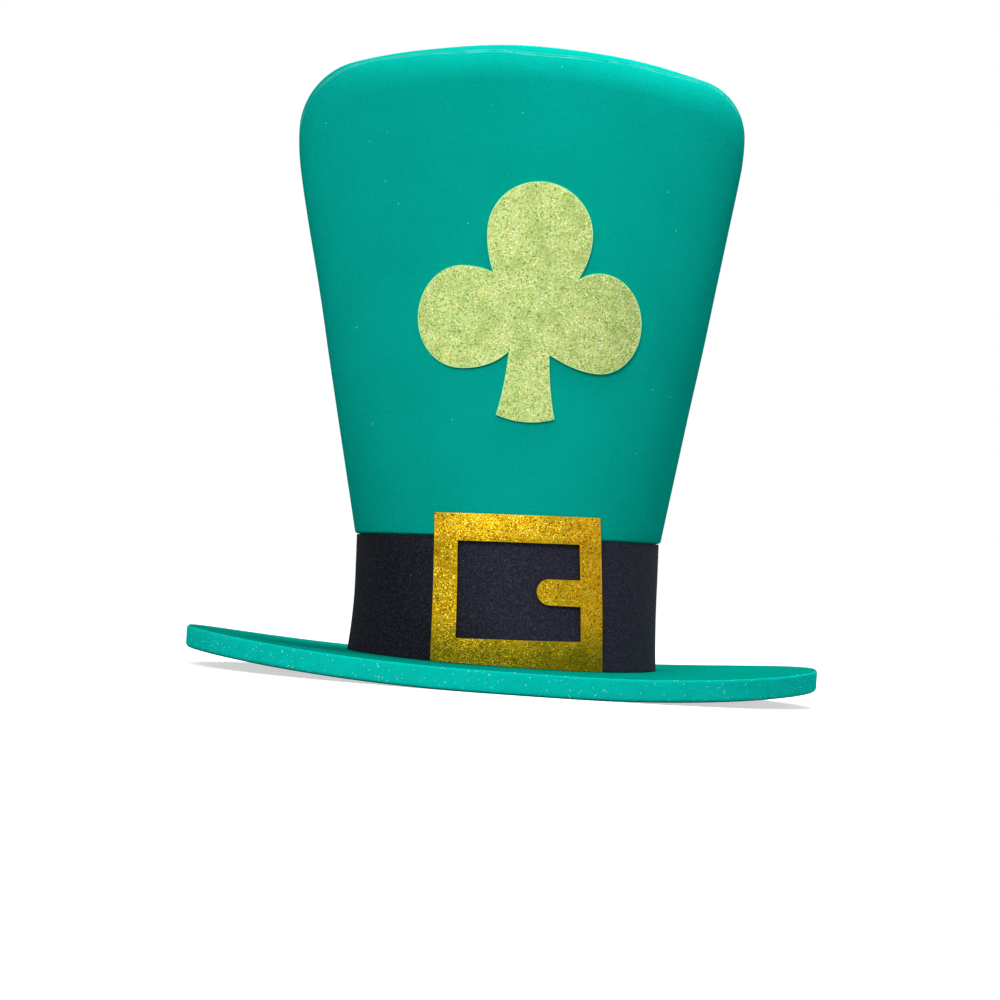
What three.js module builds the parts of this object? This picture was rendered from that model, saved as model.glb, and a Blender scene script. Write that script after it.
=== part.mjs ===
// A tall foam costume top hat: two glued crown panels on a thick brim, with a band, a buckle and a shamrock.
// Millimetres and degrees. X runs across the hat, Y from its front to its back, Z up.
// The origin is on the surface that the hat rests on, under the middle of the brim.
import * as THREE from "three";

// Gap kept where one piece is glued to the next
const GLUE_GAP = 0.3;

// Brim: an oval foam plate whose two sides rise from a flat strip across the middle
const BRIM_WIDTH = 428;
const BRIM_DEPTH = 424;
const BRIM_THICKNESS = 15;
const BRIM_EDGE_ROUND = 2.5;
const BRIM_FLAT_WIDTH = 60;
const BRIM_SIDE_RISE = 11.6;

// Crown: a round tube at the band that is pressed flat towards the seam on top
const CROWN_WALL = 10;
const CROWN_HEIGHT = 419.9;
const WAIST_WIDTH = 200.4;
const WAIST_DEPTH = 208;
const CROWN_FLARE = 10.57;
const CROWN_LEAN = 2.04;
const FOOT_HEIGHT = 50;
const FOOT_SPREAD = 2.5;
const SWELL = 3.3;
const SWELL_HEIGHT = 1.5;

// Crown's top: an arch with round corners, the left one rounder, and the panels closing on the seam
const ARCH_RADIUS = 425;
const CORNER_RADIUS_LEFT = 49;
const CORNER_RADIUS_RIGHT = 41;
const SHOULDER_RADIUS = 150;
const RIDGE_DEPTH = 48;
const RIDGE_ROUND = 27;

// Band round the crown's foot
const BAND_HEIGHT = 83.7;
const BAND_THICKNESS = 2;

// Buckle: a frame, a little wider at its foot, with a round-ended tongue from its right side
const BUCKLE_HEIGHT = 99;
const BUCKLE_TOP_WIDTH = 115;
const BUCKLE_FOOT_WIDTH = 121;
const BUCKLE_THICKNESS = 2;
const BUCKLE_SIDE_BAR = 16.8;
const BUCKLE_TOP_BAR = 18;
const BUCKLE_FOOT_BAR = 17.5;
const BUCKLE_FOOT_SLANT = 1.9;
const BUCKLE_SHIFT = 1.85;
const BUCKLE_SKEW = 5;
const TONGUE_LENGTH = 30;
const TONGUE_WIDTH = 16.8;
const TONGUE_HEIGHT = 49.5;

// Shamrock: three lobes and a stem, turned a little to its right
const SHAMROCK_WIDTH = 149;
const SHAMROCK_HEIGHT = 163;
const SHAMROCK_THICKNESS = 2;
const SHAMROCK_SHIFT = 5.5;
const SHAMROCK_CENTRE_HEIGHT = 235;
const SHAMROCK_TURN = 2.5;

// Fineness of the meshes, as counts of steps
const BRIM_STEPS = { round: 80, across: 5, edge: 3 };
const CROWN_STEPS = { foot: 3, swell: 3, shoulder: 2, corner: 5, arch: 8, body: 8, ridge: 4 };
const BAND_STEPS = 72;
const BUCKLE_STEPS = { bar: 2, window: 6, round: 4, tongue: 3, bend: 5 };
const SHAMROCK_STEPS = { lobe: 9, bend: 3, rings: 6 };

// Shamrock's outline from its middle: x, across and names in X are shares of its half width,
// y, up and names in Y are shares of its height. The lobes are parts of ellipses, and short bends join them.
const SHAMROCK_STEM = { footY: -0.46, cornerX: 0.259, cornerY: -0.439, bendX: 0.195, bendY: -0.32 };
const SHAMROCK_NECK = { x: 0.181, y: -0.178 };
const SHAMROCK_SIDE_LOBES = {
  right: { x: 0.617, y: -0.03, across: 0.388, up: 0.208, rootX: 0.42, tipX: 0.5, topX: 0.035 },
  left: { x: 0.617, y: -0.047, across: 0.383, up: 0.212, rootX: 0.35, tipX: 0.46, topX: -0.035 },
};
const SHAMROCK_TOP_LOBE = { y: 0.323, across: 0.475, up: 0.217, bendY: 0.233 };
const SHAMROCK_NOTCHES = { right: { x: 0.4, y: 0.143 }, left: { x: 0.363, y: 0.144 } };

const radians = THREE.MathUtils.degToRad;
const smooth = (share) => THREE.MathUtils.smoothstep(share, 0, 1);
const steps = (from, to, count) =>
  Array.from({ length: count + 1 }, (_, k) => THREE.MathUtils.lerp(from, to, k / count));

// Height of the brim's underside over the surface, at a distance across from the middle
function brimRise(x) {
  const past = Math.max(0, Math.abs(x) - BRIM_FLAT_WIDTH / 2);
  return BRIM_SIDE_RISE * (past / (BRIM_WIDTH / 2 - BRIM_FLAT_WIDTH / 2)) ** 2;
}

// How far the foam swells out over the band's top edge, in a quarter round, at a height over the crown's foot
function crownSwell(height) {
  const share = THREE.MathUtils.clamp((height - BAND_HEIGHT - GLUE_GAP) / SWELL_HEIGHT, 0, 1);
  return SWELL * Math.sqrt(1 - (1 - share) ** 2);
}

// Half width and half depth of the crown at a height over its foot, moved out by an offset
function crownSection(height, offset) {
  const spread = FOOT_SPREAD * Math.max(0, 1 - height / FOOT_HEIGHT) ** 2;
  const above = Math.max(0, height - BAND_HEIGHT);
  const swell = crownSwell(height);
  const taper = (WAIST_DEPTH / 2 + SWELL - RIDGE_DEPTH / 2) / (CROWN_HEIGHT - BAND_HEIGHT);
  const slope = radians(CROWN_FLARE);
  return {
    halfWidth: WAIST_WIDTH / 2 + spread + swell + Math.tan(slope) * above + offset / Math.cos(slope),
    halfDepth: WAIST_DEPTH / 2 + spread + swell - taper * above + offset,
  };
}

// From the crown's own upright frame to its place: leaning, and seated on the risen brim
function placeOnBrim(x, y, height) {
  const share = Math.min(1, height / BAND_HEIGHT);
  const lean = Math.tan(radians(CROWN_LEAN));
  const bent = BAND_HEIGHT * (share ** 3 - share ** 4 / 2);
  const shift = -lean * (bent + Math.max(0, height - BAND_HEIGHT));
  const placedX = x + shift;
  const seat = BRIM_THICKNESS + GLUE_GAP + brimRise(placedX) * (1 - share);
  return new THREE.Vector3(placedX, y, seat + height + x * lean * smooth(share));
}

// A point on the front of the crown, moved out by an offset
function frontPoint(x, height, offset) {
  const { halfWidth, halfDepth } = crownSection(height, offset);
  const y = -halfDepth * Math.sqrt(1 - (x / halfWidth) ** 2);
  return placeOnBrim(x, y, height);
}

// Closed slab between two skins that share one net of faces, listed anticlockwise as seen from outside
function slab(faces, outer, inner) {
  const corners = [];
  const edges = new Map();
  for (const face of faces) {
    face.forEach((a, k) => {
      const b = face[(k + 1) % face.length];
      edges.set(`${a} ${b}`, [a, b]);
    });
    for (let k = 1; k + 1 < face.length; k++) {
      corners.push(outer[face[0]], outer[face[k]], outer[face[k + 1]]);
      corners.push(inner[face[0]], inner[face[k + 1]], inner[face[k]]);
    }
  }
  for (const [a, b] of edges.values()) {
    if (edges.has(`${b} ${a}`)) continue;
    corners.push(outer[a], inner[a], inner[b]);
    corners.push(outer[a], inner[b], outer[b]);
  }
  return new THREE.BufferGeometry().setFromPoints(corners);
}

// Faces of a net of columns and rows, numbered column by column; a loop's last column meets its first
function netFaces(columns, rows, loop) {
  const faces = [];
  const last = loop ? columns : columns - 1;
  for (let i = 0; i < last; i++) {
    for (let j = 0; j + 1 < rows; j++) {
      const next = ((i + 1) % columns) * rows;
      faces.push([i * rows + j, next + j, next + j + 1, i * rows + j + 1]);
    }
  }
  return faces;
}

// Directions along the right half of the crown's top outline, each with the arc that it belongs to
function outlineDirections(cornerEnd) {
  const slope = radians(CROWN_FLARE);
  const spans = [
    { arc: "shoulder", from: -slope, to: 0 },
    { arc: "corner", from: 0, to: cornerEnd },
    { arc: "arch", from: cornerEnd, to: Math.PI / 2 },
  ];
  return spans.flatMap(({ arc, from, to }) =>
    steps(from, to, CROWN_STEPS[arc])
      .slice(0, -1)
      .map((angle) => ({ arc, angle })),
  );
}

// Half of the crown's top outline: side, shoulder, corner and arch, each running smoothly into the next
function outlineHalf(cornerRadius, inset) {
  const slope = radians(CROWN_FLARE);
  const archCentre = CROWN_HEIGHT - ARCH_RADIUS;
  const sideFoot = WAIST_WIDTH / 2 + SWELL - Math.tan(slope) * BAND_HEIGHT;
  const start = sideFoot + SHOULDER_RADIUS * (1 - 1 / Math.cos(slope)) - cornerRadius;
  const square = 1 + Math.tan(slope) ** 2;
  const middle = 2 * (start * Math.tan(slope) - archCentre);
  const rest = start ** 2 + archCentre ** 2 - (ARCH_RADIUS - cornerRadius) ** 2;
  const cornerHeight = (-middle + Math.sqrt(middle ** 2 - 4 * square * rest)) / (2 * square);
  const cornerAcross = start + Math.tan(slope) * cornerHeight;
  const arcs = {
    shoulder: { x: cornerAcross + cornerRadius - SHOULDER_RADIUS, z: cornerHeight, radius: SHOULDER_RADIUS },
    corner: { x: cornerAcross, z: cornerHeight, radius: cornerRadius },
    arch: { x: 0, z: archCentre, radius: ARCH_RADIUS },
  };
  const cornerEnd = Math.atan2(cornerHeight - archCentre, cornerAcross);
  return outlineDirections(cornerEnd).map(({ arc, angle }) => ({
    x: arcs[arc].x + (arcs[arc].radius - inset) * Math.cos(angle),
    z: arcs[arc].z + (arcs[arc].radius - inset) * Math.sin(angle),
  }));
}

// Top outline of the crown, from its left side over its middle to its right side
function topOutline(inset) {
  const left = outlineHalf(CORNER_RADIUS_LEFT, inset).map(({ x, z }) => ({ x: -x, z }));
  const right = outlineHalf(CORNER_RADIUS_RIGHT, inset);
  return [...left, { x: 0, z: CROWN_HEIGHT - inset }, ...right.toReversed()];
}

// Heights of the rows that the crown and the band share: the spreading foot, then the band's top edge
function bandRows() {
  return [...steps(0, FOOT_HEIGHT, CROWN_STEPS.foot), BAND_HEIGHT];
}

// Heights of a crown panel's rows below a top point, each with the share of the section's depth left there
function panelRows(top, inset) {
  const closing = RIDGE_ROUND - inset;
  const swellFoot = BAND_HEIGHT + GLUE_GAP;
  const bodyTop = top - closing;
  const swell = steps(0, Math.PI / 2, CROWN_STEPS.swell).map(
    (angle) => swellFoot + SWELL_HEIGHT * (1 - Math.cos(angle)),
  );
  const body = steps(swellFoot + SWELL_HEIGHT, bodyTop, CROWN_STEPS.body).slice(1, -1);
  const upright = [...bandRows(), ...swell, ...body].map((height) => ({ height, depth: 1 }));
  const ridge = steps(0, Math.PI / 2, CROWN_STEPS.ridge).map((angle) => ({
    height: bodyTop + closing * Math.sin(angle),
    depth: Math.cos(angle),
  }));
  return [...upright, ...ridge];
}

// One skin of a crown panel: columns across, rows up, on the front side (-1) or the back side (1)
function panelSkin(side, inset) {
  return topOutline(inset).flatMap(({ x, z }) => {
    const share = Math.max(-1, Math.min(1, x / crownSection(z, -inset).halfWidth));
    return panelRows(z, inset).map(({ height, depth }) => {
      const { halfWidth, halfDepth } = crownSection(height, -inset);
      const y = halfDepth * Math.sqrt(1 - share ** 2) * depth;
      return placeOnBrim(share * halfWidth, side * Math.max(GLUE_GAP / 2, y), height);
    });
  });
}

function crownPanel(side) {
  const outer = panelSkin(side, 0);
  const inner = panelSkin(side, CROWN_WALL);
  const columns = topOutline(0).length;
  const faces = netFaces(columns, outer.length / columns, false);
  return slab(side < 0 ? faces : faces.map((face) => face.toReversed()), outer, inner);
}

// Brim: a profile with rounded outer edges, swept round between the head's opening and the oval outline
function brimGeometry() {
  const foot = crownSection(0, -CROWN_WALL);
  const hole = { x: foot.halfWidth, y: foot.halfDepth };
  const rim = { x: BRIM_WIDTH / 2 - BRIM_EDGE_ROUND, y: BRIM_DEPTH / 2 - BRIM_EDGE_ROUND };
  const { across, edge, round } = BRIM_STEPS;
  const shares = steps(0, 1, across).slice(0, -1);
  const roundEdge = (from, level) =>
    steps(from, from + 90, edge).map((angle) => ({
      share: 1,
      out: BRIM_EDGE_ROUND * Math.cos(radians(angle)),
      z: level + BRIM_EDGE_ROUND * Math.sin(radians(angle)),
    }));
  const profile = [
    ...shares.map((share) => ({ share, out: 0, z: 0 })),
    ...roundEdge(-90, BRIM_EDGE_ROUND),
    ...roundEdge(0, BRIM_THICKNESS - BRIM_EDGE_ROUND),
    ...shares.toReversed().map((share) => ({ share, out: 0, z: BRIM_THICKNESS })),
  ];
  const points = [];
  for (let i = 0; i < round; i++) {
    const turn = (2 * Math.PI * i) / round;
    for (const { share, out, z } of profile) {
      const reachX = THREE.MathUtils.lerp(hole.x, rim.x, share) + out;
      const reachY = THREE.MathUtils.lerp(hole.y, rim.y, share) + out;
      const x = reachX * Math.cos(turn);
      const y = reachY * Math.sin(turn);
      points.push(new THREE.Vector3(x, y, z + brimRise(x)));
    }
  }
  const corners = [];
  const rows = profile.length;
  for (let i = 0; i < round; i++) {
    const next = (i + 1) % round;
    for (let j = 0; j < rows; j++) {
      const up = (j + 1) % rows;
      const [a, b, c, d] = [i * rows + j, next * rows + j, next * rows + up, i * rows + up];
      corners.push(points[a], points[b], points[c], points[a], points[c], points[d]);
    }
  }
  return new THREE.BufferGeometry().setFromPoints(corners);
}

// Band: a closed loop of thin foam drawn tight round the crown's foot
function bandGeometry() {
  const heights = bandRows();
  const turns = steps(0, 2 * Math.PI, BAND_STEPS).slice(0, -1);
  const skin = (offset) =>
    turns.flatMap((turn) =>
      heights.map((height) => {
        const { halfWidth, halfDepth } = crownSection(height, offset);
        return placeOnBrim(halfWidth * Math.cos(turn), halfDepth * Math.sin(turn), height);
      }),
    );
  const faces = netFaces(BAND_STEPS, heights.length, true);
  return slab(faces, skin(GLUE_GAP + BAND_THICKNESS), skin(GLUE_GAP));
}

// How far the buckle's back lies off the crown: flat on the band, then bridging to the crown above it
function buckleSeat(height) {
  const onBand = BAND_THICKNESS + 2 * GLUE_GAP;
  const onCrown = SWELL + GLUE_GAP;
  const bridge = { from: BAND_HEIGHT - BUCKLE_TOP_BAR, to: BAND_HEIGHT + GLUE_GAP + SWELL_HEIGHT };
  const step = { from: BAND_HEIGHT, to: BUCKLE_HEIGHT };
  const { from, to } = onCrown > onBand ? bridge : step;
  const rise = THREE.MathUtils.lerp(onBand, onCrown, smooth((height - from) / (to - from)));
  return rise - crownSwell(height);
}

// Buckle: a net of cells with the window left out, wrapped round the front of the band
function buckleGeometry() {
  const halfWidth = BUCKLE_TOP_WIDTH / 2;
  const halfWindow = halfWidth - BUCKLE_SIDE_BAR;
  const halfTongue = TONGUE_WIDTH / 2;
  const tip = halfWindow - TONGUE_LENGTH;
  const roundEnd = steps(0, 90, 2 * BUCKLE_STEPS.round).filter((_, k) => k % 2 === 1);
  const columns = [
    ...steps(-halfWidth, -halfWindow, BUCKLE_STEPS.bar).map((x) => ({ x, bar: x < -halfWindow })),
    ...steps(-halfWindow, tip, BUCKLE_STEPS.window).slice(1, -1).map((x) => ({ x })),
    ...roundEnd.map((angle) => ({
      x: tip + halfTongue * (1 - Math.cos(radians(angle))),
      tongue: halfTongue * Math.sin(radians(angle)),
    })),
    ...steps(tip + halfTongue, halfWindow, BUCKLE_STEPS.tongue).map((x) => ({ x, tongue: halfTongue })),
    ...steps(halfWindow, halfWidth, BUCKLE_STEPS.bar).slice(1).map((x) => ({ x, tongue: halfTongue })),
  ];
  const rows = [
    { height: 0, bar: true },
    { height: BUCKLE_FOOT_BAR, slant: BUCKLE_FOOT_SLANT },
    { height: TONGUE_HEIGHT, side: -1, tongue: true },
    { height: TONGUE_HEIGHT, side: 1 },
    { height: BUCKLE_HEIGHT - BUCKLE_TOP_BAR, bar: true },
    ...steps(BAND_HEIGHT, BUCKLE_HEIGHT, BUCKLE_STEPS.bend).map((height) => ({ height, bar: true })),
  ];
  const skin = (offset) =>
    columns.flatMap((column) =>
      rows.map(({ height, side = 0, slant = 0 }) => {
        const up = height + side * (column.tongue ?? halfTongue) + (slant * column.x) / halfWidth;
        const share = up / BUCKLE_HEIGHT;
        const spread = THREE.MathUtils.lerp(BUCKLE_FOOT_WIDTH / BUCKLE_TOP_WIDTH, 1, share);
        const along = column.x * spread + BUCKLE_SHIFT + BUCKLE_SKEW * (0.5 - share);
        const bend = WAIST_WIDTH / 2;
        return frontPoint(bend * Math.sin(along / bend), up, buckleSeat(up) + offset);
      }),
    );
  const faces = netFaces(columns.length, rows.length, false).filter(([corner]) => {
    const column = columns[Math.floor(corner / rows.length)];
    const row = rows[corner % rows.length];
    return row.bar || column.bar || column.x >= halfWindow || (row.tongue && column.tongue);
  });
  return slab(faces, skin(BUCKLE_THICKNESS), skin(0));
}

// One half of the shamrock's outline, from the foot of its stem up to its top, as shares
function shamrockHalf(side) {
  const lobe = SHAMROCK_SIDE_LOBES[side];
  const notch = SHAMROCK_NOTCHES[side];
  const stem = SHAMROCK_STEM;
  const top = SHAMROCK_TOP_LOBE;
  const path = new THREE.Path();
  path.moveTo(0, stem.footY);
  path.quadraticCurveTo(stem.cornerX / 2, stem.footY, stem.cornerX, stem.cornerY);
  path.quadraticCurveTo(stem.bendX, stem.bendY, SHAMROCK_NECK.x, SHAMROCK_NECK.y);
  path.quadraticCurveTo(lobe.rootX, lobe.y - lobe.up, lobe.x, lobe.y - lobe.up);
  path.absellipse(lobe.x, lobe.y, lobe.across, lobe.up, -Math.PI / 2, Math.PI / 2);
  path.quadraticCurveTo(lobe.tipX, lobe.y + lobe.up, notch.x, notch.y);
  path.quadraticCurveTo(lobe.topX + top.across, top.bendY, lobe.topX + top.across, top.y);
  path.absellipse(lobe.topX, top.y, top.across, top.up, 0, Math.PI / 2);
  return path.curves
    .filter((curve) => !curve.isLineCurve)
    .flatMap((curve) => {
      const count = curve.isEllipseCurve ? SHAMROCK_STEPS.lobe : SHAMROCK_STEPS.bend;
      return curve.getPoints(count).slice(1);
    });
}

// Shamrock: rings of its outline drawn in to its middle, laid on the front of the crown
function shamrockGeometry() {
  const right = shamrockHalf("right");
  const left = shamrockHalf("left").map(({ x, y }) => new THREE.Vector2(-x, y));
  const foot = new THREE.Vector2(0, SHAMROCK_STEM.footY);
  const outline = [...right, ...left.slice(0, -1).toReversed(), foot];
  const count = outline.length;
  const turn = radians(SHAMROCK_TURN);
  const flat = [new THREE.Vector2(0, 0)];
  for (const share of steps(0, 1, SHAMROCK_STEPS.rings).slice(1)) {
    for (const { x, y } of outline) {
      const point = new THREE.Vector2(share * x * SHAMROCK_WIDTH / 2, share * y * SHAMROCK_HEIGHT);
      flat.push(point.rotateAround(flat[0], -turn));
    }
  }
  const faces = [];
  for (let i = 0; i < count; i++) {
    const next = (i + 1) % count;
    faces.push([0, 1 + i, 1 + next]);
    for (let ring = 1; ring < SHAMROCK_STEPS.rings; ring++) {
      const inner = 1 + (ring - 1) * count;
      const outer = inner + count;
      faces.push([inner + i, outer + i, outer + next, inner + next]);
    }
  }
  const skin = (offset) =>
    flat.map(({ x, y }) => frontPoint(SHAMROCK_SHIFT + x, SHAMROCK_CENTRE_HEIGHT + y, offset));
  return slab(faces, skin(GLUE_GAP + SHAMROCK_THICKNESS), skin(GLUE_GAP));
}

const greenFoam = { color: 0x019b8e, roughness: 0.95, metalness: 0 };
const blackFoam = { color: 0x2b2c32, roughness: 0.9, metalness: 0 };
const goldGlitter = { color: 0xc79b1e, roughness: 0.5, metalness: 0.5 };
const paleGreenGlitter = { color: 0xbfd07e, roughness: 0.5, metalness: 0.4 };

const pieces = [
  { name: "crown_front", geometry: crownPanel(-1), finish: greenFoam },
  { name: "crown_back", geometry: crownPanel(1), finish: greenFoam },
  { name: "brim", geometry: brimGeometry(), finish: greenFoam },
  { name: "belt", geometry: bandGeometry(), finish: blackFoam },
  { name: "buckle", geometry: buckleGeometry(), finish: goldGlitter },
  { name: "shamrock", geometry: shamrockGeometry(), finish: paleGreenGlitter },
];

const hat = new THREE.Group();
for (const { name, geometry, finish } of pieces) {
  geometry.computeVertexNormals();
  const mesh = new THREE.Mesh(geometry, new THREE.MeshStandardMaterial(finish));
  mesh.name = name;
  hat.add(mesh);
}

export default hat;
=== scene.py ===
import math

import bmesh
import bpy
import numpy as np
from bpy.props import FloatProperty, FloatVectorProperty, IntProperty, PointerProperty
from bpy.types import Operator, Panel, PropertyGroup
from mathutils import Matrix, Vector, noise


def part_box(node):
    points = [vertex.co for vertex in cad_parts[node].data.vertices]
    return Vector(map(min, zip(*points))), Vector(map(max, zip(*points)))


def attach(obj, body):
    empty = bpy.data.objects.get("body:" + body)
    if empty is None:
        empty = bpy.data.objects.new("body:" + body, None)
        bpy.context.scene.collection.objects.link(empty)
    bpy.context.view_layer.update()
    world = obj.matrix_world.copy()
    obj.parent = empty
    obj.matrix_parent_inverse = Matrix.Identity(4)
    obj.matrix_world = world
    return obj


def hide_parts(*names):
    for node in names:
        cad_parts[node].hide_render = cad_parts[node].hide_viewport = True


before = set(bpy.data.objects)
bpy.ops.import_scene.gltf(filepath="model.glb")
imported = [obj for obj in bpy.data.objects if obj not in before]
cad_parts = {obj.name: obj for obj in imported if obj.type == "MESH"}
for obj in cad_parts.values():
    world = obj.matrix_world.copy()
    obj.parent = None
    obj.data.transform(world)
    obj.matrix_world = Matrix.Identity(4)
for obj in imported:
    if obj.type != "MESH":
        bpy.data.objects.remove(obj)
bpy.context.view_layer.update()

bl_info = {
    "name": "Foam Party Hat",
    "version": (1, 0, 0),
    "blender": (4, 5, 0),
    "location": "View3D > Sidebar > Foam Hat",
    "description": "A tall foam top hat with a black band, a glitter buckle and a glitter shamrock",
    "category": "Object",
}

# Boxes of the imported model, from which the sizes take their defaults
BRIM_LOW, BRIM_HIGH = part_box("brim")

BODY = "root"

# The photograph's frame and its lens in pixels, and the point on which a level camera would look
FRAME_SIDE = 1000
LENS_PIXELS = 3675
SENSOR_WIDTH = 36.0
LEVEL_POINT = (506.9, 580.6)

# The camera's turn to the side and its roll, and its place
CAMERA_YAW, CAMERA_ROLL = math.radians(4.0), math.radians(4.088)
CAMERA_PLACE = (-0.1744, -2.4934, 0.0710)
CAMERA_REACH = 50.0

# Soft square lights: high in front and behind, and a close one over the crown
LIGHTS = (
    {"name": "key", "place": (-0.82, -2.03, 1.50), "target": (0.0, 0.0, 0.2), "size": 1.1, "power": 34.4},
    {"name": "back", "place": (0.83, 1.64, 2.04), "target": (0.0, 0.0, 0.2), "size": 1.2, "power": 28.0},
    {"name": "top", "place": (0.18, 0.09, 0.95), "target": (0.0, 0.0, 0.4), "size": 0.4, "power": 6.6},
)
FLOOR_RADIUS = 12.0

# Brightness of the studio's white surroundings, and of the floor's own white as the camera sees it
SKY_LEVEL = 0.54
FLOOR_GLOW = 0.6
WHITE = (1.0, 1.0, 1.0, 1.0)


def length(name, description, millimetres):
    """A size property in metres, given in millimetres."""
    return FloatProperty(
        name=name,
        description=description,
        default=millimetres / 1000,
        subtype="DISTANCE",
        unit="LENGTH",
        precision=5,
    )


def angle(name, description, degrees):
    """An angle property in radians, given in degrees."""
    return FloatProperty(
        name=name, description=description, default=math.radians(degrees), subtype="ANGLE", unit="ROTATION"
    )


def colour(name, description, red, green, blue):
    """A colour property from the 0 to 255 values of a screen colour."""
    return FloatVectorProperty(
        name=name,
        description=description,
        default=tuple(linear(value / 255) for value in (red, green, blue)),
        subtype="COLOR",
        size=3,
        min=0.0,
        max=1.0,
    )


def linear(value):
    """Light value of a screen value, both from 0 to 1."""
    if value <= 0.04045:
        return value / 12.92
    return ((value + 0.055) / 1.055) ** 2.4


class HatSizes(PropertyGroup):
    """Sizes of the hat"""

    glue_gap: length("Glue Gap", "Gap that stands for a glued joint", 0.3)
    seam_gap: length("Seam Gap", "Gap left between the crown's two panels, which meet in their seam", 0.04)
    brim_width: length("Brim Width", "Brim from side to side", 1000 * (BRIM_HIGH.x - BRIM_LOW.x))
    brim_depth: length("Brim Depth", "Brim from front to back", 1000 * (BRIM_HIGH.y - BRIM_LOW.y))
    brim_thickness: length("Brim Thickness", "Thickness of the brim's foam", 15)
    brim_round: length("Brim Edge", "Radius on the brim's outer edges", 2.5)
    brim_flat: length("Flat Strip", "Width of the level strip across the brim", 60)
    brim_rise: length("Side Rise", "How far the brim's sides rise", 11.6)
    crown_wall: length("Crown Wall", "Thickness of the crown's foam", 10)
    crown_height: length("Crown Height", "Crown from its foot to its top", 419.9)
    crown_flare: angle("Crown Flare", "Slope of the crown's sides", 10.57)
    crown_lean: angle("Crown Lean", "Lean of the crown to its left", 2.04)
    waist_width: length("Waist Width", "Crown at the band from side to side", 200.4)
    waist_depth: length("Waist Depth", "Crown at the band from front to back", 208)
    foot_height: length("Foot Height", "Height over which the crown's foot spreads", 50)
    foot_spread: length("Foot Spread", "How far the crown's foot spreads", 2.5)
    swell: length("Swell", "How far the crown swells over the band", 3.3)
    swell_height: length("Swell Height", "Height of the swelling over the band", 1.5)
    arch_radius: length("Arch Radius", "Radius of the crown's top edge", 425)
    corner_left: length("Left Corner", "Radius of the top's left corner", 49)
    corner_right: length("Right Corner", "Radius of the top's right corner", 41)
    shoulder_radius: length("Shoulder Radius", "Radius where the sides turn to the corners", 150)
    ridge_depth: length("Ridge Depth", "Crown from front to back at its top", 48)
    ridge_round: length("Ridge Round", "Height over which the panels close on the seam", 27)
    seam_round: length("Seam Round", "Radius on the panels' edges along the seam", 1.8)
    band_height: length("Band Height", "Height of the black band", 83.7)
    band_thickness: length("Band Thickness", "Thickness of the band's foam", 2)
    buckle_height: length("Buckle Height", "Buckle from foot to top", 99)
    buckle_top_width: length("Buckle Top Width", "Buckle's width at its top", 115)
    buckle_foot_width: length("Buckle Foot Width", "Buckle's width at its foot", 121)
    buckle_thickness: length("Buckle Thickness", "Thickness of the buckle's foam", 2)
    buckle_side_bar: length("Buckle Side Bar", "Width of the buckle's side bars", 16.8)
    buckle_top_bar: length("Buckle Top Bar", "Height of the buckle's top bar", 18)
    buckle_foot_bar: length("Buckle Foot Bar", "Height of the buckle's foot bar", 17.5)
    buckle_foot_slant: length("Buckle Foot Slant", "Rise of the foot bar's top edge to the right", 1.9)
    buckle_shift: length("Buckle Shift", "Buckle's place to the right of the middle", 1.85)
    buckle_skew: length("Buckle Skew", "Slant of the buckle's sides", 5)
    tongue_length: length("Tongue Length", "Length of the buckle's tongue", 30)
    tongue_width: length("Tongue Width", "Width of the buckle's tongue", 16.8)
    tongue_height: length("Tongue Height", "Height of the tongue's middle", 49.5)
    shamrock_width: length("Shamrock Width", "Shamrock over its side leaves", 149)
    shamrock_height: length("Shamrock Height", "Shamrock from stem to top", 163)
    shamrock_thickness: length("Shamrock Thickness", "Thickness of the shamrock's foam", 2)
    shamrock_shift: length("Shamrock Shift", "Shamrock's place to the right of the middle", 5.5)
    shamrock_centre: length("Shamrock Centre", "Height of the shamrock's middle on the crown", 235)
    shamrock_turn: angle("Shamrock Turn", "Turn of the shamrock to its right", 2.5)
    trim_round: length("Trim Edge", "Radius on the edges of band, buckle and shamrock", 0.35)
    trim_rim: length("Trim Rim", "Width of the rim that the glitter leaves free", 0.7)
    seam_dip: length("Seam Dip", "Depth of the panels' round edges along the seam", 0.6)
    fleck_size: length("Glitter Fleck", "Width of a glitter fleck", 1.3)
    speck_size: length("Stray Speck", "Width of a stray glitter speck on the green foam", 0.56)
    seed: IntProperty(name="Seed", description="Seed of everything scattered", default=7)


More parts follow.
